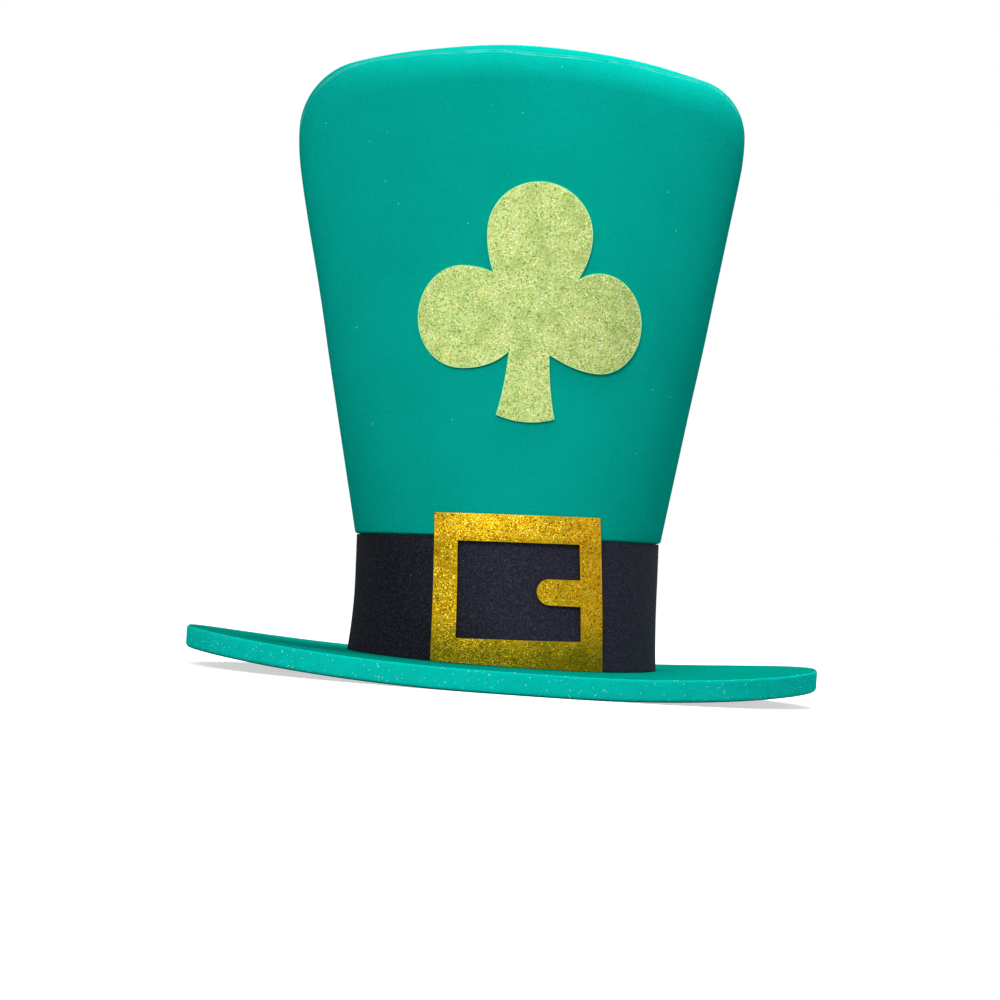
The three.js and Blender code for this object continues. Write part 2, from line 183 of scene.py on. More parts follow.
class HatColours(PropertyGroup):
    """Colours of the hat"""

    green: colour("Green Foam", "Skin of the green foam", 3, 154, 140)
    green_deep: colour("Green Foam, Deep", "Cloudy darker places in the green foam", 1, 144, 129)
    # The brim's skin is painted darker than the crown's: painted shade on the brim's top
    green_brim_shade: colour("Green Foam, Brim", "Skin of the brim's foam, darker as painted shade", 1, 124, 108)
    green_cut: colour("Green Foam, Cut", "Cut edges of the green foam", 4, 200, 185)
    # Paler colour on the crown panels' round edges along the seams
    green_seam: colour("Green Foam, Seam", "Paler round edges along the crown's seams", 56, 168, 153)
    green_speck: colour("Green Foam, Speck", "Pale specks in the green foam", 150, 236, 222)
    black: colour("Black Foam", "Skin of the black foam", 41, 40, 51)
    black_fleck: colour("Black Foam, Fleck", "Pale flecks in the black foam", 92, 91, 112)
    gold: colour("Gold", "Middle tone of the gold glitter", 240, 189, 5)
    gold_light: colour("Gold, Light", "Light flecks of the gold glitter", 254, 228, 76)
    gold_dark: colour("Gold, Dark", "Dark flecks of the gold glitter", 130, 84, 1)
    # The next two colours: painted shade, warmer and darker, on the buckle's right side
    gold_right_shade: colour("Gold, Warm", "Painted shade, warmer, on the gold glitter's right side", 250, 184, 8)
    gold_right_shade_dark: colour("Gold, Brown", "Dark flecks of painted shade on the gold glitter's right side", 146, 86, 1)
    # Painted shade and a painted reflection of the green brim, low on the buckle
    gold_low_shade: colour("Gold, Low", "Olive painted shade and brim reflection low on the gold glitter", 104, 106, 2)
    leaf: colour("Leaf", "Middle tone of the leaf glitter", 199, 221, 130)
    leaf_light: colour("Leaf, Light", "Light flecks of the leaf glitter", 246, 248, 200)
    leaf_dark: colour("Leaf, Dark", "Dark flecks of the leaf glitter", 118, 158, 52)
    leaf_rim: colour("Leaf, Rim", "Bare rim of the leaf glitter sheet", 165, 238, 160)
    leaf_warm: colour("Leaf, Warm", "Few warm flecks of the leaf glitter", 234, 204, 128)
    floor: colour("Floor", "Plain pale floor", 231, 231, 232)


# Tone of the bare sheet under the glitter flecks, on their scale from 0, dark, to 1, light
BASE_TONE = 0.4

# Heights between which the painted shade and painted brim reflection low on the buckle fade, and how far
# clouds shift them
LOW_SHADE_HEIGHTS = (0.054, 0.030)
LOW_SHADE_WAVE = 0.016

# Distances across from the middle between which the painted shade on the buckle's right side sets in,
# and how far clouds shift them
SIDE_SHADE_EDGE = (0.034, 0.054)
SIDE_SHADE_WAVE = 0.012

# Distances across from the middle between which painted shade sets in on the band's left, dimming its dust and
# painted sheen, how far clouds shift them,
# and how far the band's foot does
BAND_SHADE_EDGE = (0.010, -0.060)
BAND_SHADE_WAVE = 0.04
BAND_SHADE_FOOT = 0.045
BAND_SHADE_FOOT_HEIGHTS = (0.048, 0.018)

# Places on the scale of a fleck's number: the dark tone, the middle tone's two ends, the light and the few
FLECK_STOPS = (0.08, 0.38, 0.54, 0.76, 0.95)

# Scattered flecks: count for each square metre, tilt in radians, and lift off the sheet in metres
FLECKS = {
    "brim": {"Density": 26000.0, "Tilt": 0.3, "Lift": 0.00012},
    "buckle": {"Density": 1300000.0, "Tilt": 0.36, "Lift": 0.00012},
    "shamrock": {"Density": 1200000.0, "Tilt": 0.34, "Lift": 0.00012},
}

# Finish of the green foam's skin and of its cut faces: sizes of clouds, pores and the cells that hold a speck,
# and the pores' depth, in metres; a speck's size is a share of its cell
FOAM_FINISH = {
    "skin": {"cloud": 0.05, "pore": 0.0011, "cell": 0.011, "speck": 0.034, "depth": 0.00018},
    "cut": {"cloud": 0.012, "pore": 0.0016, "cell": 0.0060, "speck": 0.060, "depth": 0.00035},
}
PIT_CELL, PIT_SIZE = 0.018, 0.028
DUST_CELL, DUST_SIZE = 0.0085, 0.06

# Light values of the deepest and the palest places, which are no colours to choose
PIT_SHADE = (0.0, 0.10, 0.085, 1.0)
# Deepest black: in the pores, and as painted shade on the band's left side and foot
BLACK_PORE_AND_SHADE = (0.0035, 0.0050, 0.0060, 1.0)
SPECK_WHITE = (0.86, 0.98, 0.94, 1.0)
FLOOR_CLOUD = (0.58, 0.58, 0.59, 1.0)
FLOOR_BOUNCE = (0.35, 0.35, 0.35, 1.0)

# Waves of the cut foam sheet: how far they reach out and how wide they are
FOAM_WAVE_REACH = 0.0012
FOAM_WAVE_WIDTH = 0.075

# The top seam below the crest: its least drop, and a bulge with its place and reach across
SEAM_DROP = {"least": 0.0030, "bulge": 0.0042, "bulge_x": 0.015, "bulge_reach": 0.08}
SEAM_WAVES = (
    {"height": 0.0004, "length": 0.012, "turn": 0.0},
    {"height": 0.0003, "length": 0.0073, "turn": 1.0},
)

# Round edge of a crown panel: its rows' distances from the seam, as shares, listed towards the seam,
# the rows' shares of the dip, listed away from it, and the narrow columns beside the side seam
EDGE_PLACES = np.array([1.0, 0.62, 0.3, 0.08, 0.0])
EDGE_FALL = np.array([1.0, 0.42, 0.18, 0.05, 0.0])
EDGE_COLUMNS = np.radians([0.12, 0.24, 0.4, 0.65])

# Points of a crown panel's rows over the band's edge, up the body, and over the ridge in front and behind
SWELL_POINTS, BODY_POINTS = 9, 45
RIDGE_POINTS = {-1: 12, 1: 22}

# Points of the brim: round it, across it, and in each quarter of its round edge
BRIM_TURNS, BRIM_SHARES, BRIM_ROUND_POINTS = 320, 24, 7

# Least angle between two faces at an edge that looks sharp, and the steps of an edge's rounding
SHARP_ANGLE = math.radians(50)
TRIM_STEPS = 2
TINY = 1e-6

# Outline of the shamrock from its middle: x and names in X are shares of its half width,
# y, up and names in Y are shares of its height
SHAMROCK_STEM = {"footY": -0.46, "cornerX": 0.259, "cornerY": -0.439, "bendX": 0.195, "bendY": -0.32}
SHAMROCK_NECK = {"x": 0.181, "y": -0.178}
SHAMROCK_SIDE_LOBES = {
    "right": {"x": 0.617, "y": -0.03, "across": 0.388, "up": 0.208,
              "rootX": 0.42, "tipX": 0.5, "topX": 0.035},
    "left": {"x": 0.617, "y": -0.047, "across": 0.383, "up": 0.212,
             "rootX": 0.35, "tipX": 0.46, "topX": -0.035},
}
SHAMROCK_TOP_LOBE = {"y": 0.323, "across": 0.475, "up": 0.217, "bendY": 0.233}
SHAMROCK_NOTCHES = {"right": {"x": 0.4, "y": 0.143}, "left": {"x": 0.363, "y": 0.144}}


# Shape of the hat

def smooth(share):
    share = np.clip(share, 0.0, 1.0)
    return share * share * (3 - 2 * share)


def brim_rise(s, x):
    """Height of the brim's underside over the floor, at a distance across from the middle."""
    half_flat = s.brim_flat / 2
    past = np.maximum(0.0, np.abs(x) - half_flat)
    return s.brim_rise * (past / (s.brim_width / 2 - half_flat)) ** 2


def crown_swell(s, height):
    """How far the foam swells out over the band's top edge, in a quarter round, at a height over the foot."""
    share = np.clip((height - s.band_height - s.glue_gap) / s.swell_height, 0.0, 1.0)
    return s.swell * np.sqrt(1 - (1 - share) ** 2)


def crown_section(s, height, offset):
    """Half width and half depth of the crown at a height over its foot, moved out by an offset."""
    spread = s.foot_spread * np.maximum(0.0, 1 - height / s.foot_height) ** 2
    above = np.maximum(0.0, height - s.band_height)
    swell = crown_swell(s, height)
    taper = (s.waist_depth / 2 + s.swell - s.ridge_depth / 2) / (s.crown_height - s.band_height)
    across = s.waist_width / 2 + spread + swell + math.tan(s.crown_flare) * above
    half_width = across + offset / math.cos(s.crown_flare)
    half_depth = s.waist_depth / 2 + spread + swell - taper * above + offset
    return half_width, half_depth


def place_on_brim(s, x, y, height):
    """From the crown's own upright frame to its place: leaning, and seated on the risen brim."""
    share = np.clip(height / s.band_height, 0.0, 1.0)
    lean = math.tan(s.crown_lean)
    bent = s.band_height * (share**3 - share**4 / 2)
    placed = x - lean * (bent + np.maximum(0.0, height - s.band_height))
    seat = s.brim_thickness + s.glue_gap + brim_rise(s, placed) * (1 - share)
    return np.stack([placed, y + 0 * placed, seat + height + x * lean * smooth(share)], axis=-1)


def front_point(s, x, height, offset):
    """A point on the front of the crown, moved out by an offset."""
    half_width, half_depth = crown_section(s, height, offset)
    return place_on_brim(s, x, -half_depth * np.sqrt(1 - (x / half_width) ** 2), height)


def uneven(points, outward, reach, width, seed):
    """Points moved out and in by soft random waves, as cut foam sheet is never quite even."""
    shift = Vector((seed * 1.7, seed * 2.3, seed * 0.9))
    flat = points.reshape(-1, 3)
    waves = np.array([noise.noise(Vector(p) / width + shift) for p in flat.tolist()])
    return points + outward * (reach * waves).reshape(points.shape[:-1] + (1,))


def joined_steps(*stretches):
    """Values along stretches that follow each other, each given as start, end and count of steps."""
    values = [np.linspace(a, b, count + 1)[:-1] for a, b, count in stretches]
    return np.concatenate(values + [[stretches[-1][1]]])


def outline_half(s, corner_radius, inset):
    """Half of the crown's top outline from its side to its middle: shoulder, corner and arch."""
    slope = s.crown_flare
    arch_z = s.crown_height - s.arch_radius
    side_foot = s.waist_width / 2 + s.swell - math.tan(slope) * s.band_height
    start = side_foot + s.shoulder_radius * (1 - 1 / math.cos(slope)) - corner_radius
    square = 1 + math.tan(slope) ** 2
    middle = 2 * (start * math.tan(slope) - arch_z)
    rest = start**2 + arch_z**2 - (s.arch_radius - corner_radius) ** 2
    corner_z = (-middle + math.sqrt(middle**2 - 4 * square * rest)) / (2 * square)
    corner_x = start + math.tan(slope) * corner_z
    corner_end = math.atan2(corner_z - arch_z, corner_x)
    arcs = [
        (corner_x + corner_radius - s.shoulder_radius, corner_z, s.shoulder_radius, -slope, 0.0, 12),
        (corner_x, corner_z, corner_radius, 0.0, corner_end, 20),
        (0.0, arch_z, s.arch_radius, corner_end, math.pi / 2, 40),
    ]
    xs, zs = [], []
    for x, z, radius, first, last, count in arcs:
        turns = np.linspace(first, last, count + 1)[:-1]
        if first < 0:
            # Narrow columns beside the side seam, for the round edge of the foam
            turns = np.concatenate([[first], first + EDGE_COLUMNS, turns[1:]])
        xs.append(x + (radius - inset) * np.cos(turns))
        zs.append(z + (radius - inset) * np.sin(turns))
    return np.concatenate(xs), np.concatenate(zs)


def top_outline(s, inset):
    """The crown's top outline from its left side over its middle to its right side."""
    left_x, left_z = outline_half(s, s.corner_left, inset)
    right_x, right_z = outline_half(s, s.corner_right, inset)
    xs = np.concatenate([-left_x, [0.0], right_x[::-1]])
    zs = np.concatenate([left_z, [s.crown_height - inset], right_z[::-1]])
    return xs, zs


def seam_drop(x):
    """How far the top seam lies below the crest in front, along the crown's top."""
    drop = SEAM_DROP
    bulge = drop["bulge"] * np.exp(-(((x - drop["bulge_x"]) / drop["bulge_reach"]) ** 2))
    waves = sum(wave["height"] * np.sin(x / wave["length"] + wave["turn"]) for wave in SEAM_WAVES)
    return drop["least"] + bulge + waves


def crown_skin(s, side, inset):
    """Grid of points of a crown panel's skin: its rows go up to the seam in front, and down from it behind."""
    xs, tops = top_outline(s, inset)
    limit, _ = crown_section(s, tops, -inset)
    share = np.clip(xs / limit, -1.0, 1.0)
    closing = s.ridge_round - inset
    drop = np.minimum(seam_drop(xs) * closing / s.ridge_round, 0.5 * closing)
    seam = np.arcsin(1 - drop / closing)
    body_top = tops - closing
    swell_foot = s.band_height + s.glue_gap
    swell = swell_foot + s.swell_height * (1 - np.cos(np.linspace(0.0, math.pi / 2, SWELL_POINTS)))
    in_band = joined_steps((0.0, s.foot_height, 8), (s.foot_height, s.band_height, 4))
    upright = np.concatenate([in_band, swell])
    body_share = np.linspace(0.0, 1.0, BODY_POINTS)[1:]
    body = upright[-1] + np.outer(body_top - upright[-1], body_share)
    heights = np.concatenate([np.tile(upright, (len(xs), 1)), body], axis=1)
    turns = np.zeros_like(heights)
    edge = s.seam_round / s.ridge_round * EDGE_PLACES
    rows = np.linspace(0.0, 1.0, RIDGE_POINTS[side])[1:-1]
    if side < 0:
        ridge = np.outer(seam - edge[0], rows)
        last = seam[:, None] - edge[None, :]
    else:
        ridge = np.pi - np.outer(np.pi - seam - edge[0], rows)
        last = seam[:, None] + edge[None, :]
    ridge_turns = np.concatenate([ridge, last], axis=1)
    ridge_heights = body_top[:, None] + closing * np.sin(ridge_turns)
    turns = np.concatenate([turns if side < 0 else turns + np.pi, ridge_turns], axis=1)
    heights = np.concatenate([heights, ridge_heights], axis=1)
    if side > 0:
        turns, heights = turns[:, ::-1], heights[:, ::-1]
    half_width, half_depth = crown_section(s, np.minimum(heights, tops[:, None]), -inset)
    y = -half_depth * np.sqrt(1 - share[:, None] ** 2) * np.cos(turns) + side * s.seam_gap / 2
    return place_on_brim(s, share[:, None] * half_width, y, heights)


def crown_dips(shape, side, depth):
    """How far the outer skin dips along a panel's edges, as a round edge does."""
    fall, reach = depth * EDGE_FALL, len(EDGE_FALL)
    columns = np.zeros(shape[0])
    columns[:reach] = fall
    columns[-reach:] = fall[::-1]
    rows = np.zeros(shape[1])
    if side < 0:
        rows[-reach:] = fall[::-1]
    else:
        rows[:reach] = fall
    return np.maximum(columns[:, None], rows[None, :])


# Meshes

def new_piece(name, mesh, materials, replaced):
    """An object of the hat in the scene, riding on its body and standing for its solid."""
    piece = bpy.data.objects.new(name, mesh)
    bpy.context.scene.collection.objects.link(piece)
    for material in materials[len(mesh.materials):]:
        mesh.materials.append(material)
    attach(piece, BODY)
    if replaced:
        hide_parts(replaced)
    return piece


def grid_faces(columns, rows, loop=False):
    """Faces of a grid of columns and rows, numbered column by column."""
    i = np.arange(columns if loop else columns - 1)
    j = np.arange(rows - 1)
    first, low = np.meshgrid(i * rows, j, indexing="ij")
    second = np.meshgrid(((i + 1) % columns) * rows, j, indexing="ij")[0]
    quads = np.stack([first + low, second + low, second + low + 1, first + low + 1], axis=-1)
    return quads.reshape(-1, 4)


def slab_mesh(name, faces, outer, inner, cut=None):
    """Closed mesh between two skins on one net of faces. Rim faces and cut faces take the second material."""
    outer, inner = outer.reshape(-1, 3), inner.reshape(-1, 3)
    count = len(outer)
    faces = [tuple(int(k) for k in face) for face in faces]
    directed = {(face[k], face[(k + 1) % len(face)]) for face in faces for k in range(len(face))}
    rim = [(a, a + count, b + count, b) for a, b in directed if (b, a) not in directed]
    inside = [tuple(k + count for k in reversed(face)) for face in faces]
    mesh = bpy.data.meshes.new(name)
    mesh.from_pydata(np.concatenate([outer, inner]).tolist(), [], faces + inside + sorted(rim))
    index = np.zeros(len(mesh.polygons), dtype=np.int32)
    index[len(faces) + len(inside):] = 1
    if cut is not None:
        index[:len(faces)] = cut
    mesh.polygons.foreach_set("material_index", index)
    used = {k for face in faces for k in face}
    if len(used) < count:
        drop_loose(mesh)
    tone = mesh.attributes.new("tone", "FLOAT", "POINT")
    tone.data.foreach_set("value", np.full(len(mesh.vertices), BASE_TONE, dtype=np.float32))
    mesh.shade_smooth()
    mesh.set_sharp_from_angle(angle=SHARP_ANGLE)
    mesh.validate()
    return mesh


def drop_loose(mesh):
    """Deletes vertices that no face uses."""
    work = bmesh.new()
    work.from_mesh(mesh)
    bmesh.ops.delete(work, geom=[v for v in work.verts if not v.link_faces], context="VERTS")
    work.to_mesh(mesh)
    work.free()


def plain_mesh(holder):
    """The mesh that an object has with its modifiers, which are taken off."""
    bpy.context.view_layer.update()
    done = holder.evaluated_get(bpy.context.evaluated_depsgraph_get())
    mesh = bpy.data.meshes.new_from_object(done)
    holder.modifiers.clear()
    return mesh


def round_edges(piece, width):
    """Rounds the piece's sharp edges, and leaves it a plain mesh."""
    bevel = piece.modifiers.new("Round edges", "BEVEL")
    bevel.width = width
    bevel.segments = TRIM_STEPS
    bevel.limit_method = "ANGLE"
    bevel.angle_limit = SHARP_ANGLE
    bevel.harden_normals = False
    sharp = piece.data
    piece.data = plain_mesh(piece)
    bpy.data.meshes.remove(sharp)


# Glitter, scattered by Geometry Nodes

def scatter_tree(name):
    """Node tree that covers a surface with small tilted flecks, but leaves its rim free."""
    tree = bpy.data.node_groups.new(name, "GeometryNodeTree")
    face = tree.interface
    face.new_socket("Geometry", in_out="INPUT", socket_type="NodeSocketGeometry")
    for label, kind in (("Density", "Float"), ("Size", "Float"), ("Tilt", "Float"),
                        ("Lift", "Float"), ("Rim", "Float"), ("Seed", "Int"), ("Material", "Material")):
        face.new_socket(label, in_out="INPUT", socket_type=f"NodeSocket{kind}")
    face.new_socket("Geometry", in_out="OUTPUT", socket_type="NodeSocketGeometry")

    def node(kind, settings=None, inputs=None):
        made = tree.nodes.new(kind)
        for key, value in (settings or {}).items():
            setattr(made, key, value)
        for key, value in (inputs or {}).items():
            if isinstance(value, bpy.types.NodeSocket):
                tree.links.new(value, made.inputs[key])
            else:
                made.inputs[key].default_value = value
        return made

    given = node("NodeGroupInput").outputs
    spread = node("GeometryNodeDistributePointsOnFaces", None,
                  {"Mesh": given["Geometry"], "Density": given["Density"], "Seed": given["Seed"]})
    neighbours = node("GeometryNodeInputMeshEdgeNeighbors").outputs[0]
    is_rim = node("FunctionNodeCompare", {"data_type": "INT", "operation": "EQUAL"}, {2: neighbours, 3: 1})
    rim = node("GeometryNodeSeparateGeometry", {"domain": "EDGE"},
               {0: given["Geometry"], 1: is_rim.outputs[0]})
    near = node("GeometryNodeProximity", {"target_element": "EDGES"}, {0: rim.outputs[0]})
    in_rim = node("FunctionNodeCompare", {"data_type": "FLOAT", "operation": "LESS_THAN"},
                  {0: near.outputs["Distance"], 1: given["Rim"]})
    kept = node("GeometryNodeDeleteGeometry", {"domain": "POINT"},
                {0: spread.outputs["Points"], 1: in_rim.outputs[0]})
    lifted = node("ShaderNodeVectorMath", {"operation": "SCALE"},
                  {0: spread.outputs["Normal"], "Scale": given["Lift"]})
    raised = node("GeometryNodeSetPosition", None,
                  {"Geometry": kept.outputs[0], "Offset": lifted.outputs[0]})
    low = node("ShaderNodeMath", {"operation": "MULTIPLY"}, {0: given["Tilt"], 1: -1.0})
    least = node("ShaderNodeCombineXYZ", None, {0: low.outputs[0], 1: low.outputs[0], 2: -math.pi})
    most = node("ShaderNodeCombineXYZ", None, {0: given["Tilt"], 1: given["Tilt"], 2: math.pi})
    tilt = node("FunctionNodeRandomValue", {"data_type": "FLOAT_VECTOR"},
                {0: least.outputs[0], 1: most.outputs[0], "Seed": given["Seed"]})
    as_turn = node("FunctionNodeEulerToRotation", None, {0: tilt.outputs[0]})
    turned = node("FunctionNodeRotateRotation", {"rotation_space": "LOCAL"},
                  {0: spread.outputs["Rotation"], 1: as_turn.outputs[0]})
    fleck = node("GeometryNodeMeshCircle", {"fill_type": "NGON"}, {"Vertices": 6, "Radius": 0.5})
    scale = node("FunctionNodeRandomValue", {"data_type": "FLOAT"},
                 {2: 0.55, 3: 1.15, "ID": node("GeometryNodeInputIndex").outputs[0], "Seed": given["Seed"]})
    size = node("ShaderNodeMath", {"operation": "MULTIPLY"}, {0: scale.outputs[1], 1: given["Size"]})
    placed = node("GeometryNodeInstanceOnPoints", None,
                  {"Points": raised.outputs[0], "Instance": fleck.outputs[0],
                   "Rotation": turned.outputs[0], "Scale": size.outputs[0]})
    tone = node("FunctionNodeRandomValue", {"data_type": "FLOAT"}, {2: 0.0, 3: 1.0, "Seed": 31})
    stored = node("GeometryNodeStoreNamedAttribute", {"data_type": "FLOAT", "domain": "INSTANCE"},
                  {"Geometry": placed.outputs[0], "Name": "tone", "Value": tone.outputs[1]})
    real = node("GeometryNodeRealizeInstances", None, {0: stored.outputs[0]})
    painted = node("GeometryNodeSetMaterial", None,
                   {"Geometry": real.outputs[0], "Material": given["Material"]})
    node("NodeGroupOutput", None, {0: painted.outputs[0]})
    return tree


def scatter(name, surface, material, values):
    """Flecks over a surface, as a plain mesh of its own that rides on the hat."""
    tree = bpy.data.node_groups.get("Glitter flecks") or scatter_tree("Glitter flecks")
    base = bpy.data.objects.new(name + "_base", surface)
    bpy.context.scene.collection.objects.link(base)
    modifier = base.modifiers.new("Glitter", "NODES")
    modifier.node_group = tree
    sockets = {item.name: item.identifier for item in tree.interface.items_tree if item.in_out == "INPUT"}
    for label, value in {**values, "Material": material}.items():
        modifier[sockets[label]] = value
    mesh = plain_mesh(base)
    bpy.data.objects.remove(base)
    return new_piece(name, mesh, [material], None)


def skin_mesh(name, faces, points):
    """Open mesh of one skin, for the flecks to lie on."""
    mesh = bpy.data.meshes.new(name)
    corners = [tuple(int(k) for k in face) for face in faces]
    mesh.from_pydata(points.reshape(-1, 3).tolist(), [], corners)
    mesh.validate()
    return mesh


# Shader maths

class Value:
    """A socket of a material's nodes, so that shader maths reads as Python."""

    def __init__(self, paint, socket):
        self.paint = paint
        self.socket = socket

    def _math(self, operation, first, second=0.0):
        return self.paint.node("ShaderNodeMath", {"operation": operation}, {0: first, 1: second})

    def __add__(self, other):
        return self._math("ADD", self, other)

    def __sub__(self, other):
        return self._math("SUBTRACT", self, other)

    def __mul__(self, other):
        return self._math("MULTIPLY", self, other)

    def __gt__(self, other):
        return self._math("GREATER_THAN", self, other)

    def __lt__(self, other):
        return self._math("LESS_THAN", self, other)


class Nodes:
    """A node tree and the one method that adds nodes to it."""

    def __init__(self, tree):
        self.tree = tree

    def node(self, kind, settings=None, inputs=None, output=0):
        made = self.tree.nodes.new(kind)
        for key, value in (settings or {}).items():
            if key == "stops":
                self.set_stops(made.color_ramp, value)
            else:
                setattr(made, key, value)
        for key, value in (inputs or {}).items():
            self.join(made.inputs[key], value)
        return Value(self, made.outputs[output])

    def join(self, socket, value):
        if isinstance(value, Value):
            self.tree.links.new(value.socket, socket)
        else:
            socket.default_value = value

    @staticmethod
    def set_stops(ramp, stops):
        while len(ramp.elements) > 1:
            ramp.elements.remove(ramp.elements[-1])
        for number, (position, shade) in enumerate(stops):
            element = ramp.elements[0] if number == 0 else ramp.elements.new(position)
            element.position = position
            element.color = shade


class Paint(Nodes):
    """A material, with the textures that its finish is mixed from."""

    def __init__(self, name):
        self.material = bpy.data.materials.new(name)
        self.material.use_nodes = True
        super().__init__(self.material.node_tree)
        self.shader = self.tree.nodes["Principled BSDF"]
        self.place = self.node("ShaderNodeTexCoord", output="Object")

    def along(self, axis):
        """Place along an axis, in metres: 0 is across and 2 is up."""
        return self.node("ShaderNodeSeparateXYZ", None, {0: self.place}, output=axis)

    def cells(self, size, output="Distance"):
        """Cells of a size in metres."""
        return self.node("ShaderNodeTexVoronoi", None, {"Vector": self.place, "Scale": 1 / size}, output)

    def chance(self, size):
        """A number from 0 to 1 of its own for each cell."""
        return self.red(self.cells(size, "Color"))

    def clouds(self, size, detail=2.0):
        """Soft noise with waves of a size in metres, from 0 to 1."""
        return self.node("ShaderNodeTexNoise", None,
                         {"Vector": self.place, "Scale": 1 / size, "Detail": detail})

    def between(self, value, low, high):
        """Value mapped from low to high onto 0 to 1, held there."""
        return self.node("ShaderNodeMapRange", {"clamp": True},
                         {"Value": value, "From Min": low, "From Max": high})

    def blend(self, share, first, second):
        """Colour between two others."""
        return self.node("ShaderNodeMix", {"data_type": "RGBA"}, {0: share, 6: first, 7: second}, output=2)

    def red(self, shade):
        """First channel of a colour as a number."""
        return self.node("ShaderNodeSeparateColor", None, {0: shade}, output=0)

    def bump(self, height, distance, strength=1.0):
        """Normal from a height map, with its depth in metres."""
        return self.node("ShaderNodeBump", None,
                         {"Height": height, "Distance": distance, "Strength": strength})

    def finish(self, **sockets):
        """Sets the shader's own sockets and gives the material back."""
        for label, value in sockets.items():
            self.join(self.shader.inputs[label.replace("_", " ")], value)
        return self.material


def rgba(shade):
    """A colour property as a node's colour."""
    return (*shade, 1.0)


def green_foam(c, name, skin, deep, cloudy, finish):
    """Soft green foam: cloudy, finely pored, with pale specks; a cut face is paler and coarser."""
    paint = Paint(name)
    form = FOAM_FINISH[finish]
    cloud = paint.between(paint.clouds(form["cloud"], 3.0), 0.35, 0.68)
    pores = paint.cells(form["pore"])
    grain = paint.clouds(0.0010, 3.0)
    body = paint.blend(cloud * cloudy, rgba(skin), rgba(deep))
    pitted = paint.blend(paint.between(pores, 0.30, 0.02) * 0.25, body, rgba(deep))
    toned = paint.blend(paint.between(grain, 0.45, 0.75) * 0.2, pitted, rgba(c.green_cut))
    speck = (paint.cells(form["cell"]) < form["speck"]) * (paint.chance(form["cell"]) > 0.45)
    speckled = paint.blend(speck * 0.7, toned, rgba(c.green_speck))
    pit = (paint.cells(PIT_CELL) < PIT_SIZE) * (paint.chance(PIT_CELL) < 0.5)
    shade = paint.blend(pit * 0.55, speckled, PIT_SHADE)
    height = pores * 0.5 + grain * 0.8 + paint.clouds(0.006, 2.0) * 1.2
    normal = paint.bump(height, form["depth"])
    return paint.finish(Base_Color=shade, Roughness=0.92, Normal=normal, Specular_IOR_Level=0.0)


def black_foam(c):
    """Thin black foam sheet, finely pored and dusted with small pale flecks; painted shade darkens its left
    side and foot, leaving a painted sheen in its middle.
    """
    paint = Paint("black_skin")
    pores = paint.cells(0.0012)
    grain = paint.clouds(0.0012, 3.0)
    # Painted shade: the band darkens towards its left side, reaching further right at its foot
    foot = paint.between(paint.along(2), *BAND_SHADE_FOOT_HEIGHTS) * BAND_SHADE_FOOT
    shaded_left = paint.between(paint.along(0) - foot + paint.clouds(0.03, 3.0) * BAND_SHADE_WAVE, *BAND_SHADE_EDGE)
    body = paint.blend(shaded_left * 0.85, rgba(c.black), BLACK_PORE_AND_SHADE)
    # Pale grain, dimmed under the painted shade, so that the middle holds a painted sheen
    dust_and_sheen = paint.between(grain, 0.46, 0.70) * (shaded_left * -0.14 + 0.36)
    grained = paint.blend(dust_and_sheen, body, rgba(c.black_fleck))
    pitted = paint.blend(paint.between(pores, 0.36, 0.05) * 0.6, grained, BLACK_PORE_AND_SHADE)
    fleck = (paint.cells(DUST_CELL) < DUST_SIZE) * (paint.chance(DUST_CELL) > 0.35)
    shade = paint.blend(fleck * 0.8, pitted, rgba(c.black_fleck))
    normal = paint.bump(pores * 0.6 + grain, 0.00022)
    return paint.finish(Base_Color=shade, Roughness=0.8, Normal=normal, Specular_IOR_Level=0.05)


def fleck_tones(paint, number, dark, middle, light, few):
    """Colour of a glitter fleck from its number: dark, middle or light, and the last one seldom."""
    shades = [rgba(shade) for shade in (dark, middle, middle, light, few)]
    return paint.node("ShaderNodeValToRGB", {"stops": list(zip(FLECK_STOPS, shades))}, {0: number})


def glitter(name, tones, metallic, roughness, low=None, side=None):
    """Glitter flecks, toned by their own numbers; painted shade gathers on the right, and painted shade with a
    painted brim reflection at the foot.
    """
    paint = Paint(name)
    tone = paint.node("ShaderNodeAttribute", {"attribute_name": "tone"}, output="Fac")
    grains = paint.chance(0.0012)
    mixed = tone * 0.85 + grains * 0.15
    cloud = paint.between(paint.clouds(0.013, 2.0), 0.42, 0.66)
    shade = paint.blend(cloud * 0.3, fleck_tones(paint, mixed, *tones), rgba(tones[0]))
    # Painted shade: darker, warmer flecks towards the buckle's right side
    if side:
        painted_shade_patch = paint.between(paint.along(0) + paint.clouds(0.012, 2.0) * SIDE_SHADE_WAVE, *SIDE_SHADE_EDGE)
        shade = paint.blend(painted_shade_patch * 0.8, shade, fleck_tones(paint, mixed, *side))
    # Painted shade and a painted reflection of the green brim, low on the buckle
    if low:
        painted_shade_patch = paint.between(paint.along(2) + paint.clouds(0.012, 2.0) * LOW_SHADE_WAVE, *LOW_SHADE_HEIGHTS)
        shade = paint.blend(painted_shade_patch * 0.8, shade, rgba(low))
    spread = grains * 0.2 + (roughness - 0.1)
    normal = paint.bump(paint.cells(0.0008), 0.0003, 0.7)
    return paint.finish(Base_Color=shade, Roughness=spread, Metallic=metallic, Normal=normal,
                        Specular_IOR_Level=0.1)


def trim_edge(name, shade, pale):
    """Cut edge of a glitter foam sheet: matt foam with a few grains of glitter."""
    paint = Paint(name)
    grain = paint.between(paint.clouds(0.0008, 3.0), 0.4, 0.7)
    body = paint.blend(grain * 0.3, rgba(shade), rgba(pale))
    return paint.finish(Base_Color=body, Roughness=0.8, Normal=paint.bump(grain, 0.0002))


